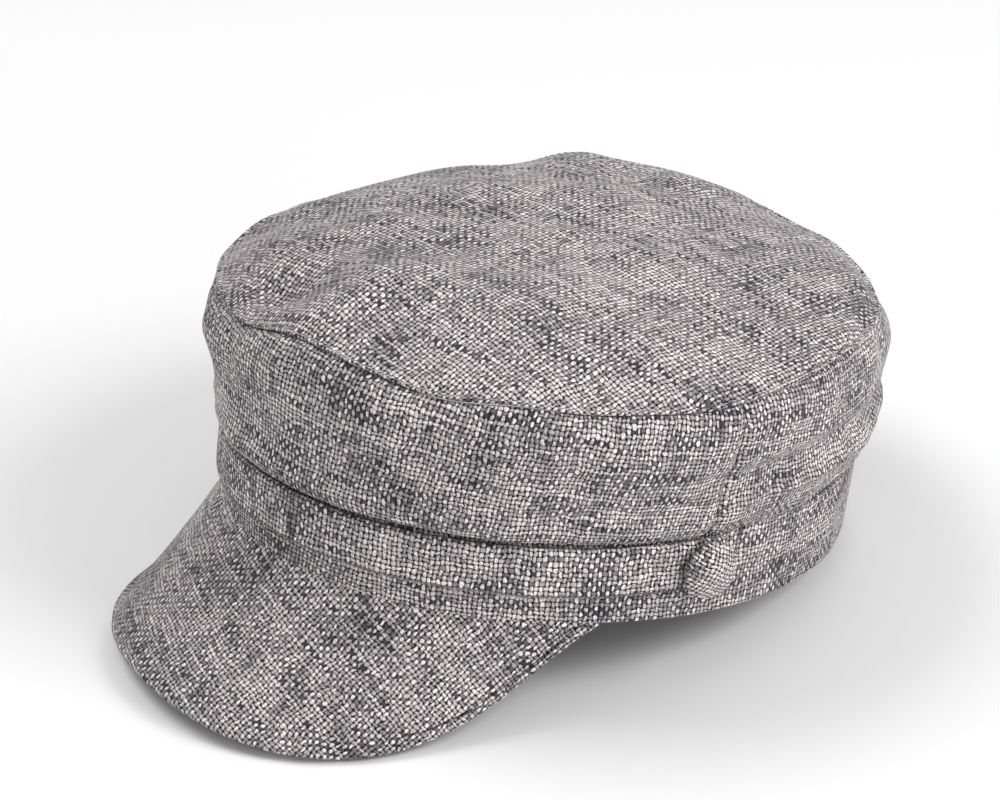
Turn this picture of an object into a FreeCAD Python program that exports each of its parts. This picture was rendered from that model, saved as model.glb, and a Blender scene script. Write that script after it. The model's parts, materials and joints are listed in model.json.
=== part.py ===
import FreeCAD, Part
import math
import os

# Newsboy cap: an oval crown of a top panel and two side panels on an upright band, with a curved visor, a front
# strap and two fabric-covered shank buttons.
#
# Everything is modelled in the cap's own frame: the band's lower edge is the plane z = 0, the wearer looks along -Y
# and the wearer's left is +X. At the end the cap is tipped back onto its resting plane, where it stands on the rear
# of the band and on the rim of the visor, and the middle of its footprint box becomes the origin. Millimetres.

Vector = FreeCAD.Vector
os.makedirs("parts", exist_ok=True)

# ---- driving dimensions ------------------------------------------------------------------------------------------
FABRIC = 1.2  # basket-weave cloth
LINING = 0.5  # lining cloth
BUCKRAM = 0.8  # band and strap interlining
LAYER_GAP = 0.15  # air left between two layers

BAND_HALF_LENGTH = 104.7  # outside of the band, along Y
BAND_HALF_WIDTH = 85.8  # outside of the band, along X
BAND_HEIGHT = 27.0
SWEATBAND_HEIGHT = 30.0
SWEATBAND_BOTTOM = 1.2

# Crown side, bottom to top: height, half length, half width and how far back the ring's centre lies.
CROWN_RINGS = (
    (27.3, 105.0, 86.1, 0.0),
    (31.5, 107.4, 89.0, -0.6),
    (42.0, 108.8, 94.5, -1.8),
    (56.0, 108.8, 99.6, -3.0),
    (66.0, 107.6, 102.0, -4.0),
    (71.0, 105.6, 101.8, -4.4),
)
CROWN_RISE = 17.0  # height of the top panel's crown over its own rim
SIDE_SEAM_Y = -8.0  # the side seams stand over the buttons
SEAM_ALLOWANCE = 8.0
LINING_SLACK = 4.5  # the lining hangs this far inside the cloth

STRAP_WIDTH = 15.5
STRAP_BOTTOM = 9.8
STRAP_THICKNESS = 2.4
STRAP_GAP = 0.3  # between the strap and the band
STRAP_END_DEG = 89.5  # the strap's ends, round the oval from the front

BUTTON_DEG = 85.5  # each button, round the oval from the front
BUTTON_RADIUS = 9.0
BUTTON_DOME = 3.9  # rise of the button's face over its rim
BUTTON_RIM = 1.5
BUTTON_STAND_OFF = 2.1  # back of the button to the strap
SHELL = 0.5  # sheet metal of the button's shell
SHANK_RADIUS = 1.25  # wire loop behind the button
SHANK_WIRE = 0.35
THREAD_RADIUS = 0.8

VISOR_HALF_DEG = 69.3  # the visor's corners, round the oval from the front
VISOR_LENGTH = 51.9  # depth at the middle
VISOR_SLOPE_DEG = 49.3  # below the band's plane, at the middle
VISOR_SIDE_SLOPE_DEG = 58.4  # added towards the sides, times 1 - cos
VISOR_FULLNESS = 3.11
VISOR_ROUNDING = 1.37
VISOR_END = 0.93  # share of the half angle where the stiff layers end
VISOR_RIBS = 29
VISOR_BOARD = 1.4
VISOR_CLOTH = 0.8
VISOR_EDGE = 1.6  # the covers reach this far past the board
HINGE_GAP_FRONT = 2.8  # soft cloth between the band's edge and the stiff visor, where it bends
HINGE_GAP_CORNER = 3.9
HINGE_Y = -88.0
HINGE_Z = -2.0

ELASTIC_HALF_DEG = 34.0
ELASTIC_HEIGHT = 20.0
ELASTIC_THICKNESS = 0.9
TAB_WIDTH = 18.0
TAB_HEIGHT = 12.0
TAB_THICKNESS = 0.6

FAR = 400.0  # larger than the cap, for cutting boxes


# ---- helpers -----------------------------------------------------------------------------------------------------
def oval_wire(half_length, half_width, z, back=0.0):
    """A horizontal oval, its long axis along Y, its centre a distance back from the axis."""
    centre = Vector(0, back, z)
    curve = Part.Ellipse(centre + Vector(0, half_length, 0), centre + Vector(half_width, 0, 0), centre)
    return Part.Wire([curve.toShape()])


def oval_block(half_length, half_width, low, high, back=0.0):
    """An upright oval prism."""
    wires = [oval_wire(half_length, half_width, z, back) for z in (low, high)]
    return Part.makeLoft(wires, True, True)


def oval_ring(outside, thickness, low, high):
    """An upright oval wall whose outer face lies a distance outside the band's outer face."""
    half_length, half_width = BAND_HALF_LENGTH + outside, BAND_HALF_WIDTH + outside
    outer = oval_block(half_length, half_width, low, high)
    return outer.cut(oval_block(half_length - thickness, half_width - thickness, low - 1, high + 1))


def crown_form(inset, low=None, high=None):
    """The crown's side as a filled, smoothly bulging body, its wall moved in by inset."""
    wires = [oval_wire(a - inset, b - inset, z, back) for z, a, b, back in CROWN_RINGS]
    body = Part.makeLoft(wires, True, False)
    if low is not None:
        body = body.common(slab(low, high))
    return body


def slab(low, high):
    return Part.makeBox(2 * FAR, 2 * FAR, high - low, Vector(-FAR, -FAR, low))


def before(y):
    """All space in front of a Y plane."""
    return Part.makeBox(2 * FAR, FAR, 2 * FAR, Vector(-FAR, y - FAR, -FAR))


def behind(y):
    return Part.makeBox(2 * FAR, FAR, 2 * FAR, Vector(-FAR, y, -FAR))


def dome_sheet(drop, thickness, half_length, half_width, rim_z, rise):
    """A domed oval sheet. Its upper face lies a distance drop under a dome of that rise over the rim."""
    radius = (half_width**2 + rise**2) / (2 * rise)
    stretch = half_length / half_width
    back = CROWN_RINGS[-1][3]

    def ball(r):
        sphere = Part.makeSphere(r, Vector(0, 0, 0))
        matrix = FreeCAD.Matrix()
        matrix.scale(1, stretch, 1)
        matrix.move(Vector(0, back, rim_z + rise - radius))
        return sphere.transformGeometry(matrix)

    trim = oval_block(half_length, half_width, rim_z - 20, rim_z + rise + 20, back)
    sheet = ball(radius - drop).cut(ball(radius - drop - thickness))
    return sheet.common(trim)


def oval_point(angle_deg, outside=0.0, z=0.0):
    """A point of the band's oval, by its angle from the front towards the wearer's left."""
    angle = math.radians(angle_deg)
    x = (BAND_HALF_WIDTH + outside) * math.sin(angle)
    return Vector(x, -(BAND_HALF_LENGTH + outside) * math.cos(angle), z)


def oval_normal(angle_deg):
    angle = math.radians(angle_deg)
    return Vector(math.sin(angle) / BAND_HALF_WIDTH, -math.cos(angle) / BAND_HALF_LENGTH, 0).normalize()


def wedge(half_deg, front):
    """An upright wedge of space about the front or the rear of the oval, half_deg each side."""
    corners = [Vector(0, 0, -FAR)]
    for share in (-1.0, -0.5, 0.0, 0.5, 1.0):
        angle = half_deg * share if front else 180.0 + half_deg * share
        point = oval_point(angle)
        corners.append(Vector(point.x, point.y, 0) * 3 + Vector(0, 0, -FAR))
    corners.append(corners[0])
    return Part.Face(Part.makePolygon(corners)).extrude(Vector(0, 0, 2 * FAR))


# ---- crown -------------------------------------------------------------------------------------------------------
def make_crown():
    top_z, top_a, top_b, _ = CROWN_RINGS[-1]
    low, high = CROWN_RINGS[0][0], top_z
    wall = crown_form(0).cut(crown_form(FABRIC))
    seam = LAYER_GAP / 2
    parts = {
        "crown_side_front": wall.common(before(SIDE_SEAM_Y - seam)),
        "crown_side_rear": wall.common(behind(SIDE_SEAM_Y + seam)),
        "crown_top": dome_sheet(0, FABRIC, top_a, top_b, top_z + FABRIC + LAYER_GAP, CROWN_RISE),
    }
    inner = FABRIC + LAYER_GAP
    stiff = crown_form(inner, low + 3, high - 3).cut(crown_form(inner + BUCKRAM))
    parts["crown_front_interlining"] = stiff.common(before(SIDE_SEAM_Y - 4))

    tape_top = high - 0.3
    tape = oval_block(top_a - inner - 1, top_b - inner - 1, tape_top - FABRIC, tape_top, CROWN_RINGS[-1][3])
    hole = SEAM_ALLOWANCE + inner
    tape = tape.cut(oval_block(top_a - hole, top_b - hole, 0, 2 * tape_top, CROWN_RINGS[-1][3]))
    parts["crown_seam_allowance"] = tape

    lining_top = high - LINING_SLACK
    lining = crown_form(LINING_SLACK, low + 4, lining_top - 0.2).cut(crown_form(LINING_SLACK + LINING))
    parts["lining_side_front"] = lining.common(before(SIDE_SEAM_Y - seam))
    parts["lining_side_rear"] = lining.common(behind(SIDE_SEAM_Y + seam))
    in_a, in_b = top_a - LINING_SLACK - 0.6, top_b - LINING_SLACK - 0.6
    parts["lining_top"] = dome_sheet(0, LINING, in_a, in_b, lining_top + LINING, CROWN_RISE - 1)
    return parts


# ---- band, sweatband and strap -----------------------------------------------------------------------------------
def make_band():
    parts = {"band": oval_ring(0, FABRIC, 0, BAND_HEIGHT)}
    depth = FABRIC + LAYER_GAP
    parts["band_interlining"] = oval_ring(-depth, BUCKRAM, 1.5, BAND_HEIGHT - 1)
    depth += BUCKRAM + LAYER_GAP
    elastic = oval_ring(-depth, ELASTIC_THICKNESS, 5, 5 + ELASTIC_HEIGHT)
    parts["rear_elastic"] = elastic.common(wedge(ELASTIC_HALF_DEG, False))
    depth += ELASTIC_THICKNESS + LAYER_GAP
    top = SWEATBAND_BOTTOM + SWEATBAND_HEIGHT
    parts["sweatband"] = oval_ring(-depth, LINING * 2, SWEATBAND_BOTTOM, top)
    depth += 2 * LINING + LAYER_GAP
    tab = oval_ring(-depth, TAB_THICKNESS, 12, 12 + TAB_HEIGHT)
    half = Part.makeBox(TAB_WIDTH, FAR, FAR, Vector(-TAB_WIDTH / 2, 0, 0))
    parts["size_tab"] = tab.common(half)
    return parts


def make_strap():
    front = wedge(STRAP_END_DEG, True)
    outside = STRAP_GAP + STRAP_THICKNESS
    top = STRAP_BOTTOM + STRAP_WIDTH
    body = oval_ring(outside, STRAP_THICKNESS, STRAP_BOTTOM, top).common(front)
    core_gap = (STRAP_THICKNESS - BUCKRAM) / 2 - LAYER_GAP
    pocket = oval_ring(outside - core_gap, BUCKRAM + 2 * LAYER_GAP, STRAP_BOTTOM + 1, top - 1)
    core = oval_ring(outside - core_gap - LAYER_GAP, BUCKRAM, STRAP_BOTTOM + 1.2, top - 1.2)
    return {
        "strap_cover": body.cut(pocket.common(wedge(STRAP_END_DEG - 1, True))),
        "strap_interlining": core.common(wedge(STRAP_END_DEG - 1.3, True)),
    }


# ---- buttons -----------------------------------------------------------------------------------------------------
def revolved(points):
    """A solid of revolution about Z from a closed half outline of (radius, height) points, where a point given
    as a pair of points is an arc's middle and end."""
    edges, last = [], Vector(points[0][0], 0, points[0][1])
    for item in points[1:]:
        if isinstance(item[0], tuple):
            middle, end = (Vector(p[0], 0, p[1]) for p in item)
            edges.append(Part.Arc(last, middle, end).toShape())
        else:
            end = Vector(item[0], 0, item[1])
            edges.append(Part.makeLine(last, end))
        last = end
    face = Part.Face(Part.Wire(edges))
    return face.revolve(Vector(0, 0, 0), Vector(0, 0, 1), 360)


def dome_height(radius, rim, rise, r):
    """Height at radius r of a spherical dome that stands on a rim."""
    ball = (radius**2 + rise**2) / (2 * rise)
    return rim + rise - ball + math.sqrt(ball**2 - r**2)


def button_pieces():
    """The pieces of one button, its axis along Z and its back at z = 0."""
    wrap = FABRIC * 0.8
    lip = 2.4  # the cover is turned in this far under the shell
    outer, rim, rise = BUTTON_RADIUS, BUTTON_RIM, BUTTON_DOME
    inner = outer - wrap
    half, half_in = outer * 0.55, inner * 0.55
    cover = revolved([
        (0, rim + rise),
        ((half, dome_height(outer, rim, rise, half)), (outer, rim)),
        ((outer - 0.2, rim * 0.3), (outer - 0.9, 0)),
        (outer - wrap - lip, 0),
        (outer - wrap - lip, wrap * 0.6),
        (inner, wrap * 0.6),
        (inner, rim),
        ((half_in, dome_height(inner, rim, rise - wrap, half_in)), (0, rim + rise - wrap)),
        (0, rim + rise),
    ])
    out, height = inner - 0.1, rise - wrap - 0.1
    bore = out - SHELL
    half, half_in = out * 0.55, bore * 0.55
    shell = revolved([
        (0, rim + height),
        ((half, dome_height(out, rim, height, half)), (out, rim)),
        (out, wrap * 0.6 + 0.1),
        (bore, wrap * 0.6 + 0.1),
        (bore, rim),
        ((half_in, dome_height(bore, rim, height - SHELL, half_in)), (0, rim + height - SHELL)),
        (0, rim + height),
    ])
    plate = Part.makeCylinder(inner - lip - 0.15, 0.9, Vector(0, 0, 0.05))
    hub = Part.makeCone(3.2, 2.4, 0.5, Vector(0, 0, 0.95))
    loop = Part.makeTorus(SHANK_RADIUS, SHANK_WIRE, Vector(0, 0, 0), Vector(0, 1, 0))
    below = Part.makeBox(10, 10, 10, Vector(-5, -5, -10))
    foot = 0.3 - BUTTON_STAND_OFF  # the thread stands clear of the strap
    thread = Part.makeCylinder(THREAD_RADIUS, 1.1, Vector(0, 0, foot))
    eye = Part.makeTorus(SHANK_RADIUS, SHANK_WIRE + 0.03, Vector(0, 0, 0), Vector(0, 1, 0))
    return {
        "cover": cover,
        "shell": shell,
        "back": plate.fuse(hub),
        "shank": loop.common(below),
        "thread": thread.cut(eye),
    }


def make_buttons():
    parts = {}
    for side, name in ((1, "left"), (-1, "right")):
        angle = side * BUTTON_DEG
        normal = oval_normal(angle)
        z = STRAP_BOTTOM + STRAP_WIDTH / 2
        seat = oval_point(angle, 0, z) + normal * (STRAP_GAP + STRAP_THICKNESS + BUTTON_STAND_OFF)
        place = FreeCAD.Placement(seat, FreeCAD.Rotation(Vector(0, 0, 1), normal))
        for piece, shape in button_pieces().items():
            placed = shape.copy()
            placed.Placement = place
            parts[f"button_{name}_{piece}"] = placed
    return parts


# ---- visor -------------------------------------------------------------------------------------------------------
def visor_slope(angle_deg):
    return math.radians(VISOR_SLOPE_DEG + VISOR_SIDE_SLOPE_DEG * (1 - math.cos(math.radians(angle_deg))))


def visor_direction(angle_deg):
    """The way the visor runs from the band: outwards and down."""
    slope = visor_slope(angle_deg)
    return oval_normal(angle_deg) * math.cos(slope) - Vector(0, 0, 1) * math.sin(slope)


def visor_depth(angle_deg):
    share = abs(angle_deg) / VISOR_HALF_DEG
    return VISOR_LENGTH * (1 - share**VISOR_FULLNESS) ** VISOR_ROUNDING


def hinge_gap(angle_deg):
    """Length of soft cloth between the band's edge and the stiff visor."""
    share = (1 - math.cos(math.radians(angle_deg))) / (1 - math.cos(math.radians(VISOR_HALF_DEG)))
    drop = HINGE_GAP_FRONT + (HINGE_GAP_CORNER - HINGE_GAP_FRONT) * share
    return drop / math.sin(visor_slope(angle_deg))


def visor_layer(depth, thickness, start, end):
    """A layer of the visor lying a depth under its upper face. start and end give, for an angle, how far from the
    band the layer begins and stops."""
    ribs = []
    for i in range(VISOR_RIBS):
        angle = VISOR_HALF_DEG * VISOR_END * (2 * i / (VISOR_RIBS - 1) - 1)
        run = visor_direction(angle)
        along = oval_point(angle + 0.5) + visor_direction(angle + 0.5) * 20
        along = along - oval_point(angle - 0.5) - visor_direction(angle - 0.5) * 20
        up = run.cross(along).normalize()
        if up.z < 0:
            up = up * -1
        root = oval_point(angle)
        corners = []
        for reach, under in (
            (start(angle), depth),
            (end(angle), depth),
            (end(angle), depth + thickness),
            (start(angle), depth + thickness),
        ):
            corners.append(root + run * reach - up * under)
        corners.append(corners[0])
        ribs.append(Part.makePolygon(corners))
    return Part.makeLoft(ribs, True, False)


def make_visor():
    board = VISOR_CLOTH + LAYER_GAP
    under = board + VISOR_BOARD + LAYER_GAP
    edge = VISOR_EDGE - LAYER_GAP

    def after_gap(angle):
        return hinge_gap(angle)

    def board_end(angle):
        return max(hinge_gap(angle) + 0.3, visor_depth(angle) - VISOR_EDGE)

    def edge_start(angle):
        return max(hinge_gap(angle) + 0.3 + LAYER_GAP, visor_depth(angle) - edge)

    return {
        "visor_top_cover": visor_layer(0, VISOR_CLOTH, after_gap, visor_depth),
        "visor_board": visor_layer(board, VISOR_BOARD, after_gap, board_end),
        "visor_under_cover": visor_layer(under, VISOR_CLOTH, after_gap, visor_depth),
        "visor_edge_seam": visor_layer(board, VISOR_BOARD, edge_start, visor_depth),
        "visor_seam_cloth": visor_layer(0.1, VISOR_CLOTH, lambda a: 0.25, lambda a: hinge_gap(a) - 0.2),
    }


# ---- the whole cap on its resting plane --------------------------------------------------------------------------
def rest_tilt():
    """The angle by which the cap leans back when it stands on the visor's rim and the rear of the band."""
    thickness = 2 * VISOR_CLOTH + VISOR_BOARD + 2 * LAYER_GAP
    tilt = 0.0
    for i in range(VISOR_RIBS):
        angle = VISOR_HALF_DEG * VISOR_END * i / (VISOR_RIBS - 1)
        rim = oval_point(angle) + visor_direction(angle) * visor_depth(angle)
        rim = rim - Vector(0, -math.sin(visor_slope(angle)), math.cos(visor_slope(angle))) * thickness
        tilt = max(tilt, math.atan2(-rim.z, BAND_HALF_LENGTH - rim.y))
    return tilt


def main():
    parts = {**make_crown(), **make_band(), **make_strap(), **make_buttons(), **make_visor()}
    lean = FreeCAD.Placement(Vector(0, 0, 0), FreeCAD.Rotation(Vector(1, 0, 0), -math.degrees(rest_tilt())))
    box = FreeCAD.BoundBox()
    for shape in parts.values():
        tipped = shape.transformed(lean.toMatrix(), True)
        tipped.tessellate(0.05)
        box.add(tipped.optimalBoundingBox(True, False))
    shift = Vector(0, -box.Center.y, -box.ZMin)
    place = FreeCAD.Placement(shift, FreeCAD.Rotation()).multiply(lean)
    print("lean", round(math.degrees(rest_tilt()), 3), "shift", shift, "box", box)
    for name, shape in sorted(parts.items()):
        shape = shape.transformed(place.toMatrix(), True)
        shape.exportStep(f"parts/{name}.step")
        print(name, len(shape.Solids), "valid" if shape.isValid() else "INVALID", round(shape.Volume))
    for label, point in (
        ("hinge", Vector(0, HINGE_Y, HINGE_Z)),
        ("head opening", Vector(0, 0, 0)),
        ("button left", oval_point(BUTTON_DEG, 0, STRAP_BOTTOM + STRAP_WIDTH / 2)),
    ):
        print(label, place.multVec(point))
    print("button axis", lean.Rotation.multVec(oval_normal(BUTTON_DEG)))


main()
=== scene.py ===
import json
import math

import bmesh
import bpy
import numpy as np
from mathutils import Matrix, Vector


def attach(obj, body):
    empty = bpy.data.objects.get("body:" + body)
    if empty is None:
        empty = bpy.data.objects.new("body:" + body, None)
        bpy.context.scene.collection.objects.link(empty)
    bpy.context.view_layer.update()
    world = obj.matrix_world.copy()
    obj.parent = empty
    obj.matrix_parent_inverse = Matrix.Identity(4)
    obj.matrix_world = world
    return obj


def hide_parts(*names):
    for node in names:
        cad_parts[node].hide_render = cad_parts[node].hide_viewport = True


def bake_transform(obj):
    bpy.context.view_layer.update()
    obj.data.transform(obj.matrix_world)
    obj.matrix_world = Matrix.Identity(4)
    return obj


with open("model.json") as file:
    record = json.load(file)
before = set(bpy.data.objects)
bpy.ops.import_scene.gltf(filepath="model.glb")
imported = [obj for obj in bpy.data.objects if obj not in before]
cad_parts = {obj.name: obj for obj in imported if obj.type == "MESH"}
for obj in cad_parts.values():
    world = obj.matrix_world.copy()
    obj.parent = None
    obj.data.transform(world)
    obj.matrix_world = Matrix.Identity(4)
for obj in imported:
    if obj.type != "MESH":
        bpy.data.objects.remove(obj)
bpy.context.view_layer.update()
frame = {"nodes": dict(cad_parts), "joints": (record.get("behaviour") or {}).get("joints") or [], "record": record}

# The cap's own frame, in which everything below is measured in millimetres: the band's lower edge is z = 0, the
# wearer looks along -Y and the wearer's left is +X. Angles run round the band's oval from the front towards +X.
MM = 0.001
mounts = {m["name"]: m for m in frame["record"]["mounts"]}
joints = {j["name"]: j for j in frame["joints"]}
ORIGIN = np.array(mounts["head_opening"]["pos_m"])
turn_axis = joints["button_left_turn"]["axis"]
LEAN = math.atan2(turn_axis[2], -turn_axis[1])  # how far the cap is tipped back where it rests


def to_row(p):
    """Points of the cap's own frame, in mm, to the row frame in metres."""
    p = np.asarray(p, float)
    y, z = p[..., 1], p[..., 2]
    c, s = math.cos(LEAN), math.sin(LEAN)
    return np.stack([p[..., 0], y * c + z * s, z * c - y * s], -1) * MM + ORIGIN


# ---- sizes shared with the CAD model -----------------------------------------------------------------------------
BAND_A, BAND_B = 104.7, 85.8
# Crown side from bottom to top: height, half length, half width, shift back.
RINGS = np.array([
    (27.3, 105.0, 86.1, 0.0),
    (31.5, 107.4, 89.0, -0.6),
    (42.0, 108.8, 94.5, -1.8),
    (56.0, 108.8, 99.6, -3.0),
    (66.0, 107.6, 102.0, -4.0),
    (71.0, 105.6, 101.8, -4.4),
])
SIDE_SEAM_DEG = 85.6
STRAP_LOW, STRAP_HIGH, STRAP_OUT, STRAP_THICK = 9.8, 25.3, 0.3, 2.4
STRAP_END_DEG = 89.5
BUTTON_SEAT = 4.8  # from the band's face to the button's back
BUTTON_R, BUTTON_RIM, BUTTON_DOME = 9.0, 1.5, 3.9
VISOR_DEG, VISOR_LENGTH, VISOR_THICK = 69.3, 51.9, 3.3
VISOR_SLOPE_DEG, VISOR_SIDE_SLOPE_DEG = 49.3, 58.4  # below the band's plane in the middle, and added to the sides
VISOR_FULLNESS, VISOR_ROUNDING = 3.11, 1.37

# ---- sizes of the soft shape, as it rests on the table -----------------------------------------------------------
WALL_Z, SEAM_Z = 27.3, 72.2  # foot of the crown's side, and its top seam where nothing sags
RISE = 17.0  # of the top panel over its seam
SHOULDER = 2.4  # how far the crown's side rolls in before it meets the top seam
LIP = 0.75  # radius of the rounded edges at the top seam
SLUMP, SLUMP_DEG = 1.9, 50  # the crown's lean towards the wearer's left front
TOP_RELIEF = 1.3  # scales the hollows and rounds of the top panel
TOP_FULLNESS = 0.9  # the cloth of the top panel stands this far over its seam
PANEL_THICK = 1.1
LINING_THICK = 0.5
VISOR_CONE = 148.0  # radius on which the visor's cloth is cut


# ---- small numeric tools -----------------------------------------------------------------------------------------
def smooth(lo, hi, x):
    """A soft step from 0 at lo to 1 at hi."""
    t = np.clip((np.asarray(x, float) - lo) / (hi - lo), 0, 1)
    return t * t * (3 - 2 * t)


def bump(x, centre, width):
    """A soft hill of height 1."""
    return np.exp(-(((x - centre) / width) ** 2))


def turned(theta, centre):
    """Signed angle in degrees from centre, the short way round."""
    return (theta - centre + 180) % 360 - 180


def ripples(x, y, wavelength, seed, count=9):
    """Soft unevenness of about unit size, made of a few seeded waves."""
    r = np.random.RandomState(seed)
    total = np.zeros(np.broadcast(x, y).shape)
    for _ in range(count):
        a, phase = r.uniform(0, math.pi * 2, 2)
        k = 2 * math.pi / (wavelength * r.uniform(0.7, 1.5))
        total += np.sin(k * (x * math.cos(a) + y * math.sin(a)) + phase)
    return total / math.sqrt(count)


def oval(theta, out=0.0):
    """Plan position on the band's oval, theta in degrees."""
    t = np.radians(theta)
    return (BAND_B + out) * np.sin(t), -(BAND_A + out) * np.cos(t)


def oval_normal(theta):
    """The oval's outward direction in plan, as two values."""
    t = np.radians(theta)
    nx, ny = np.sin(t) / BAND_B, -np.cos(t) / BAND_A
    n = np.hypot(nx, ny)
    return nx / n, ny / n


def outward(theta):
    """The band's outward direction as (x, y, 0) points."""
    nx, ny = oval_normal(theta)
    return np.stack([nx, ny, np.zeros_like(nx)], -1)


_steps = np.linspace(-360, 360, 2881)
_ox, _oy = oval(_steps)
_arc = np.concatenate([[0], np.cumsum(np.hypot(np.diff(_ox), np.diff(_oy)))])
_arc -= np.interp(0, _steps, _arc)


def arc(theta):
    """Distance along the band's oval from the front."""
    return np.interp(theta, _steps, _arc)


# ---- mesh tools --------------------------------------------------------------------------------------------------
def mesh_object(name, verts, faces, weave, seed=0.0, merge=0.0):
    """An object from points in mm. weave gives each point's place on the flat cloth, for the material."""
    mesh = bpy.data.meshes.new(name)
    mesh.from_pydata([tuple(v) for v in to_row(verts)], [], faces)
    coords = mesh.attributes.new("weave", "FLOAT_VECTOR", "POINT")
    data = np.column_stack([weave, np.full(len(weave), seed)]).astype(np.float32)
    coords.data.foreach_set("vector", data.ravel())
    work = bmesh.new()
    work.from_mesh(mesh)
    if merge:
        bmesh.ops.remove_doubles(work, verts=work.verts, dist=merge * MM)
        bmesh.ops.dissolve_degenerate(work, dist=1e-7, edges=work.edges)
    bmesh.ops.recalc_face_normals(work, faces=work.faces)
    for f in work.faces:
        f.smooth = True
    work.to_mesh(mesh)
    work.free()
    obj = bpy.data.objects.new(name, mesh)
    bpy.context.scene.collection.objects.link(obj)
    return obj


def grid_normals(p, wrap):
    """Unit normals of a grid of points. wrap says that its last column lies on its first."""
    du = np.gradient(p, axis=0)
    if wrap:
        du[0] = du[-1] = (p[1] - p[-2]) / 2
    dv = np.gradient(p, axis=1)
    n = np.cross(du, dv)
    return n / np.maximum(np.linalg.norm(n, axis=-1, keepdims=True), 1e-9)


def thick_sheet(name, p, weave, thickness, wrap=False, seed=0.0, merge=0.0, flip=False):
    """A closed sheet of cloth on the grid p, thickened against its normals, or along them with flip.

    wrap joins the first column to the last, and merge is the distance in mm within which points become one.
    """
    normal = grid_normals(p, wrap) * (-1 if flip else 1)
    inner = p - normal * thickness
    nu, nv = p.shape[:2]
    verts = np.concatenate([p.reshape(-1, 3), inner.reshape(-1, 3)])
    coords = np.concatenate([weave.reshape(-1, 2)] * 2)
    base = nu * nv
    at = lambda i, j: i * nv + j
    faces = []
    for i in range(nu - 1):
        for j in range(nv - 1):
            a, b, c, d = at(i, j), at(i + 1, j), at(i + 1, j + 1), at(i, j + 1)
            faces += [(a, b, c, d), (base + d, base + c, base + b, base + a)]
        for j in (0, nv - 1):
            a, b = at(i, j), at(i + 1, j)
            faces.append((a, base + a, base + b, b))
    if wrap:
        merge = merge or 0.01
    else:
        for i in (0, nu - 1):
            for j in range(nv - 1):
                a, b = at(i, j), at(i, j + 1)
                faces.append((a, b, base + b, base + a))
    return mesh_object(name, verts, faces, coords, seed, merge)


def rotate2(u, v, degrees):
    """Flat coordinates of the weave, turned on the cloth."""
    c, s = math.cos(math.radians(degrees)), math.sin(math.radians(degrees))
    return np.stack([u * c - v * s, u * s + v * c], -1)


# ---- crown shape -------------------------------------------------------------------------------------------------
# Where the crown's top seam sags or rides up: angle, half width in degrees, rise and outward shift in mm.
SEAM_SHAPE = (
    (13, 12, 2.0, 0.0),
    (35, 11, -1.6, 0.0),
    (52, 9, 1.2, 0.3),
    (72, 14, -0.4, 0.0),
    (116, 30, 7.5, -3.2),
    (150, 26, 2.6, -4.4),
    (180, 30, 1.8, -0.5),
    (-128, 8, 4.5, 1.0),
    (-145, 34, 3.0, 0.0),
    (-72, 34, -6.5, 0.8),
    (-30, 26, -5.0, 1.5),
    (-8, 12, -2.0, 0.5),
)
# Hollows and rounds of the top panel: x, y, half width across and along, turn in degrees, height.
TOP_SHAPE = (
    (-14.0, -94.0, 13.0, 9.0, 20.0, -4.2),
    (-38.0, -80.0, 26.0, 10.0, -35.0, 2.0),
    (8.0, -84.0, 15.0, 20.0, 15.0, 2.8),
    (-72.0, -22.0, 14.0, 12.0, 0.0, -2.2),
    (-8.0, -52.0, 34.0, 16.0, 30.0, -2.0),
    (34.0, -50.0, 22.0, 34.0, -25.0, 2.0),
    (60.0, 8.0, 22.0, 30.0, 10.0, -1.6),
    (40.0, 62.0, 30.0, 24.0, 20.0, 2.4),
    (-44.0, 62.0, 26.0, 26.0, 0.0, 3.0),
    (-30.0, 20.0, 34.0, 30.0, 0.0, 1.4),
)
_fits = [np.polyfit(RINGS[:, 0], RINGS[:, k], 4) for k in (1, 2, 3)]


def seam_offsets(theta):
    """Rise and outward shift of the top seam."""
    lift = sum(dz * bump(turned(theta, c), 0, w) for c, w, dz, _ in SEAM_SHAPE)
    out = sum(dr * bump(turned(theta, c), 0, w) for c, w, _, dr in SEAM_SHAPE)
    lift = lift + 0.35 * np.sin(np.radians(theta * 11 + 40)) + 0.25 * np.sin(np.radians(theta * 17))
    lift = lift - SLUMP * np.cos(np.radians(theta - SLUMP_DEG))
    return lift, out


def band_push(theta):
    """How far the whole band is pressed in at the wearer's left rear."""
    return 1.7 * bump(turned(theta, 140), 0, 26)


def wall_point(theta, h, inset=0.0):
    """A point of the crown's side. h runs from 0 at the band to 1 at the top seam."""
    z_cad = WALL_Z + h * (RINGS[-1, 0] - WALL_Z)
    a, b, back = (np.polyval(f, z_cad) for f in _fits)
    lift, out = seam_offsets(theta)
    t = np.radians(theta)
    nx, ny = oval_normal(theta)
    z = WALL_Z + (SEAM_Z + lift - WALL_Z) * h
    d = out * smooth(0.3, 1, h) - inset + wall_folds(theta, h) - band_push(theta) * (1 - smooth(0.0, 0.3, h))
    d = d - SHOULDER * np.clip((h - 0.72) / 0.28, 0, 1) ** 2
    return np.stack([b * np.sin(t) + nx * d, back - a * np.cos(t) + ny * d, z], -1)


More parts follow.
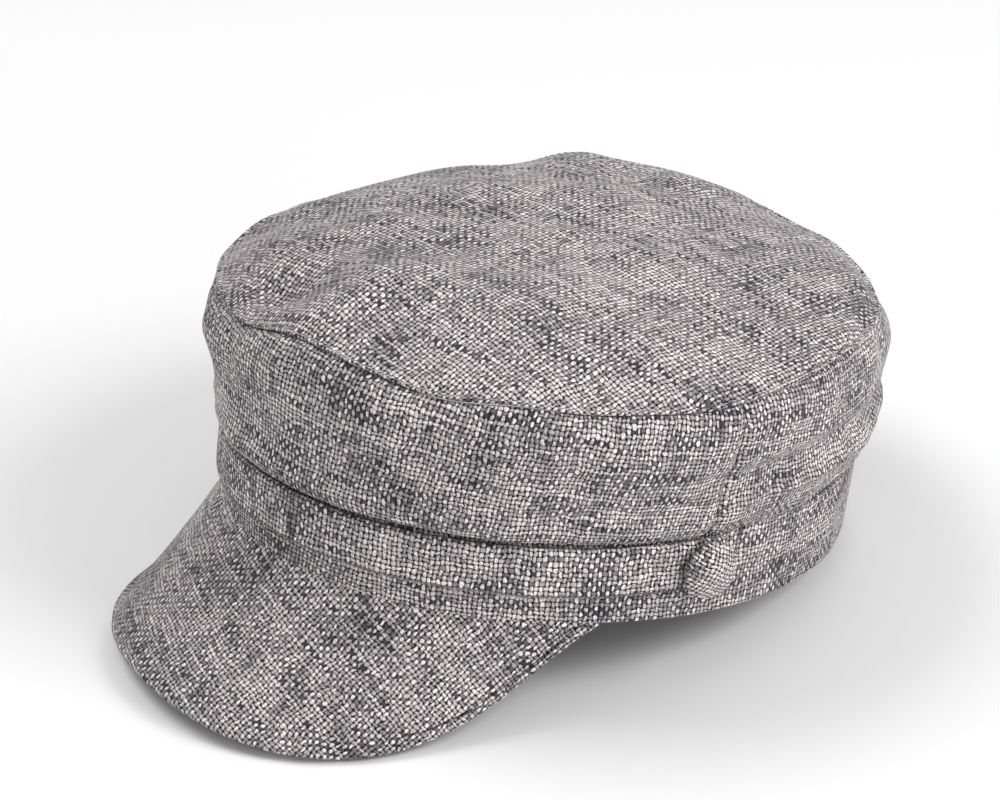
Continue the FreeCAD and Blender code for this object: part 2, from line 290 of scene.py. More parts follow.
# Folds of the crown's side: angle, height share, half widths, slope of the fold and depth in mm.
WALL_FOLDS = (
    (122, 0.42, 34, 0.240, 0.0, -4.2),
    (118, 0.03, 24, 0.080, 0.0, -3.0),
    (-54, 0.70, 30, 0.400, 0.0, -2.2),
    (112, 0.26, 22, 0.060, 0.0016, 2.3),
    (118, 0.43, 24, 0.050, -0.0012, -1.7),
    (108, 0.60, 20, 0.070, 0.0020, 1.7),
    (128, 0.14, 14, 0.050, 0.0, -1.4),
    (96, 0.50, 7, 0.300, 0.0, -1.0),
    (78, 0.55, 9, 0.260, 0.0, 0.9),
    (40, 0.30, 34, 0.120, 0.0010, 1.0),
    (22, 0.72, 20, 0.090, -0.0020, -0.8),
    (-10, 0.46, 12, 0.160, 0.0030, -1.0),
    (-22, 0.70, 10, 0.140, 0.0, 1.4),
    (60, 0.78, 16, 0.060, 0.0012, -0.7),
    (150, 0.34, 20, 0.070, 0.0016, 1.4),
    (165, 0.62, 24, 0.080, -0.0014, -1.2),
    (-150, 0.40, 22, 0.080, 0.0014, 1.4),
    (-115, 0.30, 24, 0.070, -0.0016, 1.5),
    (-95, 0.55, 18, 0.090, 0.0012, -1.2),
    (-60, 0.35, 22, 0.090, 0.0018, 1.2),
)


def wall_folds(theta, h):
    """How far the folds push the crown's side out, in mm."""
    total = np.zeros(np.broadcast(theta, h).shape)
    for c, level, width, height, slope, depth in WALL_FOLDS:
        along = turned(theta, c)
        total += depth * bump(along, 0, width) * bump(h - slope * along, level, height)
    s = arc(theta)
    total += 0.45 * ripples(s, h * 45, 34, 3) + 0.22 * ripples(s, h * 45, 15, 4)
    # cloth puffed out over the strap and band
    total += (1.2 + 2.2 * bump(turned(theta, 20), 0, 70)) * bump(h, 0.07, 0.11)
    return total * smooth(-0.02, 0.05, h) * (1 - 0.85 * smooth(0.93, 1.0, h))


def top_point(theta, rho, inset=0.0):
    """A point of the top panel. rho runs from 0 in the middle to 1 at the seam."""
    lift, out = seam_offsets(theta)
    out = out - SHOULDER
    t = np.radians(theta)
    nx, ny = oval_normal(theta)
    back = RINGS[-1, 3]
    x = (RINGS[-1, 2] * np.sin(t) + nx * out) * rho
    y = back + (-RINGS[-1, 1] * np.cos(t) + ny * out) * rho
    w = rho ** 2.7
    z = (SEAM_Z + lift) * w + (SEAM_Z + RISE) * (1 - w)
    for cx, cy, wx, wy, turn, height in TOP_SHAPE:
        c, s = math.cos(math.radians(turn)), math.sin(math.radians(turn))
        u, v = (x - cx) * c + (y - cy) * s, (y - cy) * c - (x - cx) * s
        z = z + TOP_RELIEF * height * np.exp(-((u / wx) ** 2) - (v / wy) ** 2) * (1 - smooth(0.9, 1.0, rho))
    calm = 1 - smooth(0.93, 1, rho)
    z = z + (0.9 * ripples(x, y, 60, 11) + 0.35 * ripples(x, y, 26, 12)) * calm
    # the turned-in cloth of the seam raises a low ridge just inside the edge
    z = z + 0.35 * bump(rho, 0.955, 0.022) + TOP_FULLNESS * calm
    return np.stack([x, y, z - inset], -1)


def run_lengths(p):
    """Distance from the first row of a grid to each of its rows, along the cloth."""
    steps = np.linalg.norm(np.diff(p, axis=1), axis=-1)
    return np.concatenate([np.zeros((len(p), 1)), np.cumsum(steps, 1)], 1)


def wall_panel(name, start, end, seed, weave_turn):
    """A panel of the crown's side between two angles, from its fold over the band to the top seam."""
    theta = np.linspace(start, end, int(abs(end - start) * 1.6))
    rows = [wall_point(theta, 0.03, 3.2) + (0, 0, 1.4), wall_point(theta, 0.015, 1.6) + (0, 0, -0.4)]
    foot, face, shoulder = np.linspace(0.02, 0.12, 8)[:-1], np.linspace(0.12, 0.93, 46), np.linspace(0.945, 0.97, 3)
    heights = np.concatenate([foot, face, shoulder])
    rows += [wall_point(theta, h) - (0, 0, 1.3 * bump(h, 0.02, 0.03)) for h in heights]
    rim = wall_point(theta, np.full_like(theta, 1.0))
    inward = -outward(theta)
    for angle in (20, 50, 80):
        a = math.radians(angle)
        rows.append(rim + inward * LIP * (1 - math.cos(a)) + (0, 0, LIP * math.sin(a) - LIP - 0.4))
    rows.append(rim + inward * (LIP + 1.4) + (0, 0, -1.0))
    p = np.stack(rows, 1)
    girth = np.repeat(arc(theta)[:, None] * 1.12, p.shape[1], 1)  # the crown is wider than the band
    weave = rotate2(girth, run_lengths(p), weave_turn)
    # the seams at the sides turn in
    edge = np.minimum(theta - start, end - theta)
    tuck = (1 - smooth(0, 1.6, edge)) * 1.3
    p = p + inward[:, None, :] * tuck[:, None, None]
    return thick_sheet(name, p, weave, PANEL_THICK, seed=seed)


def top_panel():
    """The oval top panel, with its edge turned down at the seam."""
    theta = np.linspace(-180, 180, 289)
    rhos = np.concatenate([np.linspace(0.0, 0.9, 56), np.linspace(0.9, 0.984, 16)[1:]])
    rows = [top_point(theta, np.full_like(theta, r)) for r in rhos]
    rim = top_point(theta, np.full_like(theta, 1.0))
    inward = -outward(theta)
    for angle in (45, 15, -15, -45, -75):
        a = math.radians(angle)
        rows.append(rim + inward * LIP * (1 - math.cos(a)) + (0, 0, LIP * math.sin(a) + LIP - 0.2))
    rows.append(rim + inward * (LIP + 1.4) + (0, 0, -0.5))
    p = np.stack(rows, 1)
    # lay the weave out flat, so that it isn't stretched where the edge turns down
    reach = run_lengths(p)
    t = np.arctan2(rim[:, 0], -(rim[:, 1] - RINGS[-1, 3]))[:, None]
    weave = rotate2(reach * np.sin(t), -reach * np.cos(t), -10)
    return thick_sheet("crown_top_panel", p, weave, PANEL_THICK, wrap=True, seed=3, merge=0.02, flip=True)


# ---- weave material ----------------------------------------------------------------------------------------------
class Nodes:
    """Short names for the shader nodes used by the materials."""

    def __init__(self, name):
        self.material = bpy.data.materials.new(name)
        self.material.use_nodes = True
        self.tree = self.material.node_tree
        self.shader = self.tree.nodes["Principled BSDF"]

    def put(self, socket, value):
        """Links a socket, or sets a constant."""
        if isinstance(value, bpy.types.NodeSocket):
            self.tree.links.new(value, socket)
        else:
            socket.default_value = value

    def math(self, operation, *values, clamp=False):
        node = self.tree.nodes.new("ShaderNodeMath")
        node.operation, node.use_clamp = operation, clamp
        for socket, value in zip(node.inputs, values):
            self.put(socket, value)
        return node.outputs[0]

    def remap(self, value, lo, hi, to_lo=0.0, to_hi=1.0, soft=True):
        node = self.tree.nodes.new("ShaderNodeMapRange")
        node.interpolation_type = "SMOOTHSTEP" if soft else "LINEAR"
        for socket, v in zip(node.inputs, (value, lo, hi, to_lo, to_hi)):
            self.put(socket, v)
        return node.outputs[0]

    def vector(self, x, y, z=0.0):
        node = self.tree.nodes.new("ShaderNodeCombineXYZ")
        for socket, v in zip(node.inputs, (x, y, z)):
            self.put(socket, v)
        return node.outputs[0]

    def noise(self, vector, scale, detail=2.0, rough=0.5):
        node = self.tree.nodes.new("ShaderNodeTexNoise")
        self.put(node.inputs["Vector"], vector)
        self.put(node.inputs["Scale"], scale)
        self.put(node.inputs["Detail"], detail)
        self.put(node.inputs["Roughness"], rough)
        return node.outputs["Fac"]

    def uneven(self, vector, scale, detail=2.0, rough=0.5):
        """Noise about zero."""
        return self.math("SUBTRACT", self.noise(vector, scale, detail, rough), 0.5)

    def grey(self, value):
        return self.vector(value, value, value)

    def white(self, vector):
        node = self.tree.nodes.new("ShaderNodeTexWhiteNoise")
        self.put(node.inputs["Vector"], vector)
        return node.outputs["Value"]

    def mix(self, share, a, b, kind="MIX"):
        node = self.tree.nodes.new("ShaderNodeMix")
        node.data_type, node.blend_type = "RGBA", kind
        for socket, v in zip((node.inputs[0], node.inputs[6], node.inputs[7]), (share, a, b)):
            self.put(socket, v if isinstance(v, (float, bpy.types.NodeSocket)) else (*v, 1.0))
        return node.outputs[2]

    def weave_coordinates(self):
        node = self.tree.nodes.new("ShaderNodeAttribute")
        node.attribute_name = "weave"
        split = self.tree.nodes.new("ShaderNodeSeparateXYZ")
        self.tree.links.new(node.outputs["Vector"], split.inputs[0])
        return split.outputs

    def finish(self, color, height, distance, roughness=0.85, sheen=0.0):
        """Feeds the shader. distance is the depth of the fine relief, in metres."""
        node = self.tree.nodes.new("ShaderNodeBump")
        self.put(node.inputs["Height"], height)
        node.inputs["Distance"].default_value = distance
        self.put(self.shader.inputs["Normal"], node.outputs[0])
        self.put(self.shader.inputs["Base Color"], color)
        self.put(self.shader.inputs["Roughness"], roughness)
        self.shader.inputs["Sheen Weight"].default_value = sheen
        self.shader.inputs["Specular IOR Level"].default_value = 0.25
        return self.material


def woven(name, pitch, light, dark, tones, relief=0.45, gap=0.01, vary=1.0, slub=0.12, sheen=0.1):
    """A plain weave of slubbed yarns. tones gives how light the two sets of yarns are, from 0, dark, to 1, light;
    gap is how dark the painted shade between the yarns gets.
    """
    n = Nodes(name)
    x, y, seed = n.weave_coordinates()
    place = n.vector(x, y, seed)
    # uneven yarns wander a little
    sway_u = n.math("MULTIPLY", n.uneven(place, 0.13, 3.0), 1.8)
    sway_v = n.math("MULTIPLY", n.uneven(n.vector(y, x, 9.0), 0.14, 3.0), 1.8)
    wobble = n.math("MULTIPLY", n.uneven(place, 0.55), 0.7)
    sway_u, sway_v = n.math("ADD", sway_u, wobble), n.math("SUBTRACT", sway_v, wobble)
    u = n.math("ADD", n.math("DIVIDE", x, pitch[0]), sway_u)
    v = n.math("ADD", n.math("DIVIDE", y, pitch[1]), sway_v)
    iu, iv = n.math("FLOOR", u), n.math("FLOOR", v)
    fu = n.math("SUBTRACT", n.math("SUBTRACT", u, iu), 0.5)
    fv = n.math("SUBTRACT", n.math("SUBTRACT", v, iv), 0.5)
    parity = n.math("FLOORED_MODULO", n.math("ADD", iu, iv), 2.0)
    sign = n.math("SUBTRACT", n.math("MULTIPLY", parity, 2.0), 1.0)
    patch = n.uneven(place, 0.035, 3.0, 0.6)
    heights, colors = [], []
    for index, across, along, along_mm, sgn, salt, tone in (
        (iu, fu, fv, y, 1.0, 3.7, tones[0]),
        (iv, fv, fu, x, -1.0, 8.3, tones[1]),
    ):
        # slubs: each yarn swells and thins along its length
        slubs = n.vector(n.math("MULTIPLY", index, salt), n.math("MULTIPLY", along_mm, slub), seed)
        width = n.remap(n.noise(slubs, 1.0, 2.0, 0.6), 0.3, 0.7, 0.29, 0.45, soft=False)
        edge = n.math("DIVIDE", n.math("ABSOLUTE", across), width)
        dome = n.math("SQRT", n.math("SUBTRACT", 1.0, n.math("POWER", edge, 3.2), clamp=True))
        wave = n.math("MULTIPLY", n.math("COSINE", n.math("MULTIPLY", along, math.pi)), sign)
        lift = n.math("ADD", n.math("MULTIPLY", wave, sgn * 0.42), 0.58)
        heights.append(n.math("MULTIPLY", dome, lift))
        # long light and dark stretches of each yarn, broad patches, and a fleck of its own at every crossing
        own_seed = n.math("ADD", seed, salt)
        stretch = n.vector(n.math("MULTIPLY", index, salt + 1.3), n.math("MULTIPLY", along_mm, 0.06), own_seed)
        long_tone = n.uneven(stretch, 1.0, 3.0, 0.62)
        fleck = n.math("SUBTRACT", n.white(n.vector(iu, iv, own_seed)), 0.5)
        varied = n.math("ADD", n.math("MULTIPLY", long_tone, 2.7 * vary), n.math("MULTIPLY", patch, 1.1 * vary))
        varied = n.math("ADD", varied, n.math("MULTIPLY", fleck, 0.42 * vary))
        lightness = n.math("ADD", varied, tone, clamp=True)
        color = n.mix(lightness, dark, light)
        fine, coarse = (4.5, 1.6) if sgn > 0 else (1.6, 4.5)
        fibre = n.noise(n.vector(n.math("MULTIPLY", x, fine), n.math("MULTIPLY", y, coarse), salt), 1.0, 2.0)
        shade = n.remap(fibre, 0.30, 0.70, 0.45, 1.42, soft=False)
        colors.append(n.mix(1.0, color, n.grey(shade), "MULTIPLY"))
    top = n.math("GREATER_THAN", heights[0], heights[1])
    color = n.mix(top, colors[1], colors[0])
    height = n.math("MAXIMUM", heights[0], heights[1])
    # painted shade and highlight: the colour is darkened where the yarns sink between crossings and lightened past
    # its own tone on the crowns of the floats
    painted_gap_shade = n.remap(height, 0.30, 0.84, gap, 1.15)
    color = n.mix(1.0, color, n.grey(painted_gap_shade), "MULTIPLY")
    return n.finish(color, height, relief * MM, 0.82, sheen)


def plain(name, color, rough=0.6, metallic=0.0, grain=0.5, scale=900.0, relief=0.05, speckle=0.12):
    """A smooth solid material with fine grain: moulded plastic, sheet metal or wire."""
    n = Nodes(name)
    spot = n.tree.nodes.new("ShaderNodeTexCoord").outputs["Object"]
    fine = n.noise(spot, scale, 3.0, 0.6)
    broad = n.noise(spot, scale * 0.06, 2.0)
    blend = n.math("ADD", n.math("MULTIPLY", fine, grain), n.math("MULTIPLY", broad, 1 - grain))
    shade = n.remap(blend, 0.3, 0.7, 1 - speckle, 1 + speckle)
    tinted = n.mix(1.0, color, n.grey(shade), "MULTIPLY")
    roughness = n.remap(broad, 0.3, 0.7, rough - 0.08, rough + 0.08)
    n.shader.inputs["Metallic"].default_value = metallic
    return n.finish(tinted, fine, relief * MM, roughness)


LIGHT_YARN, DARK_YARN = (0.74, 0.682, 0.688), (0.042, 0.035, 0.048)
CLOTH = woven("melange_cloth", (1.48, 1.52), LIGHT_YARN, DARK_YARN, (0.78, 0.44))
# the buttons' cloth: the crown's yarns on a finer pitch and in lighter tones, so the domes read lighter than the
# strap
BUTTON_CLOTH = woven("melange_cloth_lighter_finer", (1.25, 1.30), LIGHT_YARN, DARK_YARN, (0.86, 0.62), vary=0.8)
LINING = woven("lining_cloth", (0.42, 0.42), (0.030, 0.030, 0.034), (0.018, 0.018, 0.021), (0.6, 0.4), 0.10, 0.6)
TAPE = woven("sweatband_tape", (0.55, 2.2), (0.026, 0.026, 0.029), (0.014, 0.014, 0.016), (0.6, 0.4), 0.35, 0.45)
ELASTIC = woven("knitted_elastic", (0.7, 1.3), (0.10, 0.10, 0.10), (0.05, 0.05, 0.05), (0.7, 0.4), 0.4, 0.45)
STIFFENER = woven("interlining_cloth", (0.7, 0.7), (0.72, 0.70, 0.64), (0.55, 0.53, 0.48), (0.7, 0.5), 0.15, 0.7)
TAB = woven("blank_tab", (0.35, 0.35), (0.74, 0.73, 0.69), (0.60, 0.59, 0.56), (0.7, 0.5), 0.08, 0.7)
THREAD = plain("sewing_thread", (0.16, 0.16, 0.17), 0.8, grain=0.8, scale=2500.0, relief=0.15, speckle=0.3)
BOARD = plain("visor_sheet_plastic", (0.74, 0.74, 0.71), 0.5, grain=0.4, scale=500.0, relief=0.04, speckle=0.06)
METAL = plain("pressed_aluminium", (0.72, 0.72, 0.72), 0.38, 1.0, scale=1500.0, relief=0.02, speckle=0.1)
WIRE = plain("shank_wire_steel", (0.62, 0.62, 0.63), 0.3, 1.0, scale=3000.0, relief=0.02, speckle=0.08)


def dress(obj, material, slot, body="cap", *nodes):
    """Gives a piece its material, the body that it rides on and the CAD nodes that it stands in for, which it hides.
    slot is not used.
    """
    obj.data.materials.clear()
    obj.data.materials.append(material)
    if body:
        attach(obj, body)
    if nodes:
        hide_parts(*nodes)
    return obj


# ---- crown -------------------------------------------------------------------------------------------------------
dress(top_panel(), CLOTH, "cloth", "cap", "crown_top")
front = wall_panel("crown_front_panel", -SIDE_SEAM_DEG, SIDE_SEAM_DEG, 1, 3)
dress(front, CLOTH, "cloth", "cap", "crown_side_front")
rear = wall_panel("crown_rear_panel", SIDE_SEAM_DEG, 360 - SIDE_SEAM_DEG, 2, -4)
dress(rear, CLOTH, "cloth", "cap", "crown_side_rear")


def inner_wall(name, start, end, low, high, inset, thickness, seed):
    """A layer inside the crown's side, between two angles and two shares of its height."""
    theta = np.linspace(start, end, int(abs(end - start) * 0.8))
    h = np.linspace(low, high, 24)
    p = wall_point(theta[:, None], h[None, :], inset)
    weave = np.stack(np.broadcast_arrays(arc(theta)[:, None], h[None, :] * 46), -1)
    return thick_sheet(name, p, weave, thickness, seed=seed)


def inner_top(name, inset, thickness, rhos, seed):
    """A layer under the top panel."""
    theta = np.linspace(-180, 180, 145)
    p = top_point(theta[:, None], rhos[None, :], inset)
    return thick_sheet(name, p, p[..., :2].copy(), thickness, wrap=True, seed=seed, merge=0.02, flip=True)


stiff = inner_wall("crown_front_stiffener", -82, 82, 0.08, 0.92, 1.5, 0.7, 4)
dress(stiff, STIFFENER, "interlining", "cap", "crown_front_interlining")
allowance = inner_top("crown_seam_turning", 1.5, 0.9, np.linspace(0.90, 0.965, 6), 5)
dress(allowance, CLOTH, "cloth", "cap", "crown_seam_allowance")
lining_front = inner_wall("lining_front", -SIDE_SEAM_DEG, SIDE_SEAM_DEG, 0.09, 0.94, 4.6, LINING_THICK, 6)
dress(lining_front, LINING, "lining", "cap", "lining_side_front")
lining_rear = inner_wall("lining_rear", SIDE_SEAM_DEG, 360 - SIDE_SEAM_DEG, 0.09, 0.94, 4.6, LINING_THICK, 7)
dress(lining_rear, LINING, "lining", "cap", "lining_side_rear")
lining_crown = inner_top("lining_crown", 5.4, LINING_THICK, np.linspace(0, 0.945, 40), 8)
dress(lining_crown, LINING, "lining", "cap", "lining_top")


# ---- band, sweatband, elastic and strap --------------------------------------------------------------------------
def front_dip(theta):
    """The band's lower edge rises a little in front, over the visor."""
    return 1.8 * np.clip(np.cos(np.radians(theta)), 0, 1) ** 2


def band_wave(theta, z):
    """Slight unevenness of the band and its layers."""
    s = arc(turned(theta, 0))
    return 0.30 * ripples(s, z, 46, 21) + 0.12 * ripples(s, z, 17, 22)


def ring_strip(name, start, end, profile, thickness, seed, wave=1.0, wrap=False, step=1.25, gather=0.0):
    """A strip round the band. profile gives (out, z) pairs from bottom to top.

    wave scales the unevenness, and gather is the depth of the pleats over the rear elastic.
    """
    theta = np.linspace(start, end, int(abs(end - start) / step))
    columns = []
    for out, z in profile:
        level = z + front_dip(theta) * (1 - smooth(0, 12, z))
        d = out + wave * band_wave(theta, z) - band_push(theta)
        if gather:
            fold = 0.5 + 0.5 * np.sin(np.radians(turned(theta, 180) * 62))
            d = d - gather * fold * (1 - smooth(26, 36, np.abs(turned(theta, 180))))
        x, y = oval(theta)
        nx, ny = oval_normal(theta)
        columns.append(np.stack([x + nx * d, y + ny * d, level + 0 * x], -1))
    p = np.stack(columns, 1)
    run = np.concatenate([[0], np.cumsum([math.dist(a, b) for a, b in zip(profile, profile[1:])])])
    weave = np.stack(np.broadcast_arrays(arc(theta)[:, None], run[None, :]), -1)
    return thick_sheet(name, p, weave, thickness, wrap=wrap, seed=seed)


def straight(out, low, high, count=12):
    return [(out, z) for z in np.linspace(low, high, count)]


hem = [(-2.0, 2.6), (-1.7, 0.9), (-1.1, 0.15), (-0.45, 0.0), (-0.1, 0.35), (0.0, 0.9)]
band = ring_strip("band_cloth", -180, 180, hem + straight(0.0, 1.8, 26.6, 20), 1.0, 9, wrap=True)
dress(band, CLOTH, "cloth", "cap", "band")
buckram = ring_strip("band_stiffener", -180, 180, straight(-2.2, 2.8, 25.6, 8), 0.6, 10, 0.6, wrap=True)
dress(buckram, STIFFENER, "interlining", "cap", "band_interlining")
elastic = ring_strip("rear_elastic_tape", 147, 213, straight(-3.1, 5, 25, 8), 0.6, 11, 0.6)
dress(elastic, ELASTIC, "elastic", "cap", "rear_elastic")
tape = straight(-4.0, 1.4, 32.4, 20)
sweat = ring_strip("sweatband_tape", -180, 180, tape, 0.8, 12, 0.5, wrap=True, step=0.5, gather=0.5)
dress(sweat, TAPE, "sweatband", "cap", "sweatband")
tab = ring_strip("blank_size_tab", 175, 185, straight(-5.4, 12, 24, 6), 0.5, 13, 0.3, step=0.5)
dress(tab, TAB, "tab", "cap", "size_tab")


def strap_profile():
    """The strap's outline: a flat tube of cloth with rounded edges, as (out, z) pairs all the way round."""
    r = STRAP_THICK / 2
    mid = STRAP_OUT + r
    points = []
    for z in np.linspace(STRAP_LOW + r, STRAP_HIGH - r, 12):
        points.append((mid + r, z))
    for degrees in (60, 30, 0, -30, -60):
        a = math.radians(degrees)
        points.append((mid + r * math.sin(a), STRAP_HIGH - r + r * math.cos(a)))
    for z in np.linspace(STRAP_HIGH - r, STRAP_LOW + r, 12):
        points.append((mid - r, z))
    for degrees in (-60, -30, 0, 30, 60):
        a = math.radians(degrees)
        points.append((mid + r * math.sin(a), STRAP_LOW + r - r * math.cos(a)))
    return points


def strap_piece():
    """The strap as one closed tube, its ends pinched shut."""
    theta = np.linspace(-STRAP_END_DEG, STRAP_END_DEG, 240)
    outline = np.array(strap_profile())
    mid = STRAP_OUT + STRAP_THICK / 2
    ends = smooth(0, 1.2, STRAP_END_DEG - np.abs(theta))
    s = arc(theta)
    x, y = oval(theta)
    nx, ny = oval_normal(theta)
    rings = []
    for out, z in outline:
        lift = 0.35 * np.sin(s / 19 + 0.6) + 0.25 * np.sin(s / 9.3)
        d = mid + (out - mid) * (0.25 + 0.75 * ends) + 0.18 * ripples(s, np.full_like(s, z), 22, 31) + 0.25
        rings.append(np.stack([x + nx * d, y + ny * d, z + lift * 0.6], -1))
    p = np.stack(rings, 1)
    count = len(outline)
    verts = p.reshape(-1, 3)
    faces = []
    for i in range(len(theta) - 1):
        for k in range(count):
            m = (k + 1) % count
            faces.append((i * count + k, i * count + m, (i + 1) * count + m, (i + 1) * count + k))
    faces.append(tuple(range(count)))
    faces.append(tuple((len(theta) - 1) * count + k for k in range(count)))
    run = np.concatenate([[0], np.cumsum(np.linalg.norm(np.diff(outline, axis=0), axis=1))])
    weave = np.stack(np.broadcast_arrays(s[:, None], run[None, :]), -1).reshape(-1, 2)
    return mesh_object("front_strap", verts, faces, weave, 14)


dress(strap_piece(), CLOTH, "cloth", "cap", "strap_cover", "strap_interlining")


# ---- visor -------------------------------------------------------------------------------------------------------
def visor_frames(theta):
    """For each angle: the root on the band's edge, the way the visor runs and the way its upper face looks."""
    def run(t):
        nx, ny = oval_normal(t)
        s = np.radians(VISOR_SLOPE_DEG + VISOR_SIDE_SLOPE_DEG * (1 - np.cos(np.radians(t))))
        return np.stack([nx * np.cos(s), ny * np.cos(s), -np.sin(s)], -1)

    def at(t, reach):
        x, y = oval(t)
        return np.stack([x, y, np.zeros_like(x)], -1) + run(t) * reach

    along = at(theta + 0.5, 20) - at(theta - 0.5, 20)
    up = np.cross(run(theta), along)
    up /= np.linalg.norm(up, axis=-1, keepdims=True)
    up *= np.where(up[:, 2:] < 0, -1, 1)
    return at(theta, 0), run(theta), up


def visor_depth(theta):
    """The visor's depth. The wearer's right corner is stretched a little, as on a worn cap."""
    depth = VISOR_LENGTH * np.clip(1 - np.abs(theta / VISOR_DEG) ** VISOR_FULLNESS, 0, 1) ** VISOR_ROUNDING
    return depth + 3.6 * bump(theta, -27, 10) - 0.8 * bump(theta, 0, 12)


def visor_sheet(name, outline, thickness, seed, flip=False):
    """A cover of the visor. outline lists (share of the depth, mm added to it, mm below the upper face)."""
    theta = np.linspace(-VISOR_DEG + 0.4, VISOR_DEG - 0.4, 181)
    root, run, up = visor_frames(theta)
    depth = visor_depth(theta)
    narrow = smooth(0, 5, depth)  # near the corners the layers close up
    dip = front_dip(theta)
    # where the rim would sink into the table, it is lifted to lie on it
    tip = to_row(root + run * depth[:, None] - up * VISOR_THICK)[:, 2] / MM
    lift = np.clip(0.2 - tip, 0, None)
    columns, reaches = [], []
    for part, extra, under in outline:
        reach = depth * part + extra * narrow
        p = root + run * reach[:, None] - up * (under * (0.25 + 0.75 * narrow))[:, None]
        p[:, 2] += dip * np.exp(-np.maximum(reach, 0) / 7)
        swell = 0.16 * ripples(arc(theta), reach, 40, 41) + 0.05 * ripples(arc(theta), reach, 13, 42)
        p = p + up * (swell * smooth(2, 10, reach))[:, None]
        share = np.clip(reach / np.maximum(depth, 1), 0, 1)
        p = p + (lift * smooth(0.86, 1.0, share))[:, None] * np.array([0, -math.sin(LEAN), math.cos(LEAN)])
        columns.append(p)
        reaches.append(reach)
    p = np.stack(columns, 1)
    reach = np.stack(reaches, 1)
    angle, radius = arc(theta)[:, None] / VISOR_CONE, VISOR_CONE + reach
    weave = rotate2(radius * np.sin(angle), radius * np.cos(angle), -14) * (1.04, 1.14)
    return thick_sheet(name, p, weave, thickness, seed=seed, merge=0.01, flip=flip)


# The upper cloth is turned in at the root, rolls round the rim and ends under it. The lower cloth lies on that edge.
R = VISOR_THICK / 2
over = [(0.0, -1.6, 1.2), (0.0, -0.7, 0.3)] + [(s, 0.2 * (1 - s), 0.0) for s in np.linspace(0, 0.9, 34)]
over += [(1.0, -R - 2.4, 0.0), (1.0, -R - 1.2, 0.0), (1.0, -R, 0.0)]
over += [(1.0, -R + R * math.sin(a), R - R * math.cos(a)) for a in map(math.radians, (30, 60, 90, 120, 150, 180))]
over += [(1.0, -R - 1.5, 2 * R), (1.0, -R - 3.0, 2 * R)]
top_cover = visor_sheet("visor_upper_cloth", over, 0.75, 15, flip=True)
below = [(0.0, 0.2, 2.6)] + [(s, 0, 2 * R - 0.4) for s in np.linspace(0.06, 0.85, 24)]
below += [(1.0, -R - 3.4, 2 * R - 0.4), (1.0, -R - 2.0, 2 * R - 0.5)]
under_cover = visor_sheet("visor_lower_cloth", below, 0.5, 16, flip=True)
dress(top_cover, CLOTH, "cloth", None, "visor_top_cover", "visor_edge_seam", "visor_seam_cloth")
dress(under_cover, CLOTH, "cloth", None, "visor_under_cover")
for cover in (top_cover, under_cover):
    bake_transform(cover)


# ---- buttons -----------------------------------------------------------------------------------------------------
def button_top(r):
    """Height of the button's face at radius r."""
    ball = (BUTTON_R**2 + BUTTON_DOME**2) / (2 * BUTTON_DOME)
    return BUTTON_RIM + BUTTON_DOME - ball + math.sqrt(ball**2 - r**2)


def button_cover(side, seed):
    """The cloth over one button, pleated where it is drawn in behind the rim."""
    joint = joints[f"button_{side}_turn"]
    axis = Vector(joint["axis"]).normalized()
    seat = Vector(joint["pos_m"]) + axis * BUTTON_SEAT * MM
    path = [(r, button_top(r)) for r in np.linspace(0, BUTTON_R * 0.93, 26)]
    path += [(BUTTON_R * 0.975, BUTTON_RIM + 0.38), (BUTTON_R, BUTTON_RIM - 0.25), (BUTTON_R * 0.985, 0.7)]
    path += [(BUTTON_R * 0.94, 0.2), (BUTTON_R * 0.86, 0.02), (BUTTON_R * 0.74, 0.0)]
    angles = np.linspace(0, 2 * math.pi, 97)
    r = np.array([q[0] for q in path])
    z = np.array([q[1] for q in path])
    pleats = smooth(0.72, 1.0, r / BUTTON_R)
    wobble = 0.10 * np.sin(angles * 14 + 0.7 * np.sin(angles * 3)) + 0.05 * np.sin(angles * 23)
    radius = r[None, :] * (1 + 0.012 * np.sin(angles * 2 + 0.5)[:, None]) + wobble[:, None] * pleats[None, :]
    x, y = radius * np.cos(angles)[:, None], radius * np.sin(angles)[:, None]
    p = np.stack([x, y, np.broadcast_to(z, x.shape)], -1)
    weave = rotate2(x, y, 38)
    obj = thick_sheet(f"button_{side}_cloth", p, weave, 0.7, wrap=True, seed=seed, merge=0.01, flip=True)
    # the grid was made about the cap's origin: move it onto the button's axis
    undo = Matrix.Rotation(LEAN, 4, "X") @ Matrix.Translation(-Vector(ORIGIN))
    turn = Vector((0, 0, 1)).rotation_difference(axis).to_matrix().to_4x4()
    obj.data.transform(Matrix.Translation(seat) @ turn @ undo)
    return dress(obj, BUTTON_CLOTH, "cloth", f"button_{side}", f"button_{side}_cover")


for side, seed in (("left", 17), ("right", 18)):
    button_cover(side, seed)
    for part, material in (("shell", METAL), ("back", METAL), ("shank", WIRE), ("thread", THREAD)):
        node = frame["nodes"][f"button_{side}_{part}"]
        node.data.materials.clear()
        node.data.materials.append(material)
board = frame["nodes"]["visor_board"]
board.data.materials.clear()
board.data.materials.append(BOARD)

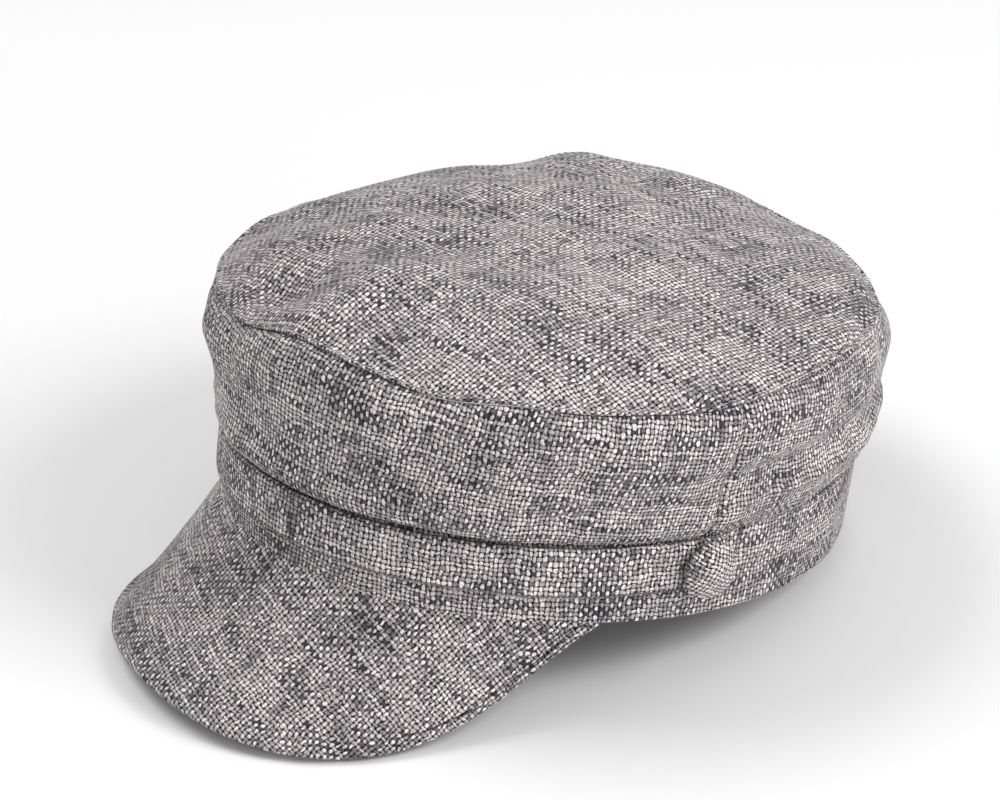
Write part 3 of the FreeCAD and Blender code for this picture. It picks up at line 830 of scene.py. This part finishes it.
# ---- camera, light and floor -------------------------------------------------------------------------------------
CAMERA_LENS, CAMERA_ROLL_DEG = 103.0, -2.4
EYE, TARGET = (637.7, -518.5, 366.7), (-7.6, -15.6, 31.2)  # in the cap's own frame
FLOOR_HALF = 6.0  # metres
scene = bpy.context.scene
camera = bpy.data.objects.new("camera", bpy.data.cameras.new("camera"))
scene.collection.objects.link(camera)
scene.camera = camera
camera.data.lens = CAMERA_LENS
camera.data.clip_end = 100.0
eye, target = Vector(to_row(EYE)), Vector(to_row(TARGET))
camera.location = eye
camera.rotation_mode = "QUATERNION"
aim = (target - eye).to_track_quat("-Z", "Y").to_matrix()
camera.rotation_quaternion = (aim @ Matrix.Rotation(math.radians(CAMERA_ROLL_DEG), 3, "Z")).to_quaternion()

floor_mesh = bpy.data.meshes.new("floor")
corners = [(x * FLOOR_HALF, y * FLOOR_HALF, 0) for x, y in ((-1, -1), (1, -1), (1, 1), (-1, 1))]
floor_mesh.from_pydata(corners, [], [(0, 1, 2, 3)])
floor = bpy.data.objects.new("floor", floor_mesh)
scene.collection.objects.link(floor)
paper = bpy.data.materials.new("pale_floor")
paper.use_nodes = True
paper_shader = paper.node_tree.nodes["Principled BSDF"]
paper_shader.inputs["Base Color"].default_value = (0.86, 0.86, 0.86, 1)
paper_shader.inputs["Roughness"].default_value = 0.9
floor_mesh.materials.append(paper)

world = bpy.data.worlds.new("studio")
scene.world = world
world.use_nodes = True
background = world.node_tree.nodes["Background"]
background.inputs["Color"].default_value = (1.0, 1.0, 1.0, 1)
background.inputs["Strength"].default_value = 0.5


def softbox(name, place, power, size):
    """A square area light aimed at the cap."""
    light = bpy.data.lights.new(name, "AREA")
    light.energy, light.size, light.shape = power, size, "SQUARE"
    lamp = bpy.data.objects.new(name, light)
    lamp.location = place
    lamp.rotation_euler = (Vector((0, 0, 0.05)) - Vector(place)).to_track_quat("-Z", "Y").to_euler()
    scene.collection.objects.link(lamp)


softbox("key", (1.2, 0.7, 1.2), 18.5, 0.8)
softbox("fill", (1.7, 0.1, 0.35), 7.5, 0.8)
softbox("top", (-0.8, -0.5, 1.7), 16.5, 1.0)
scene.view_settings.view_transform = "Standard"
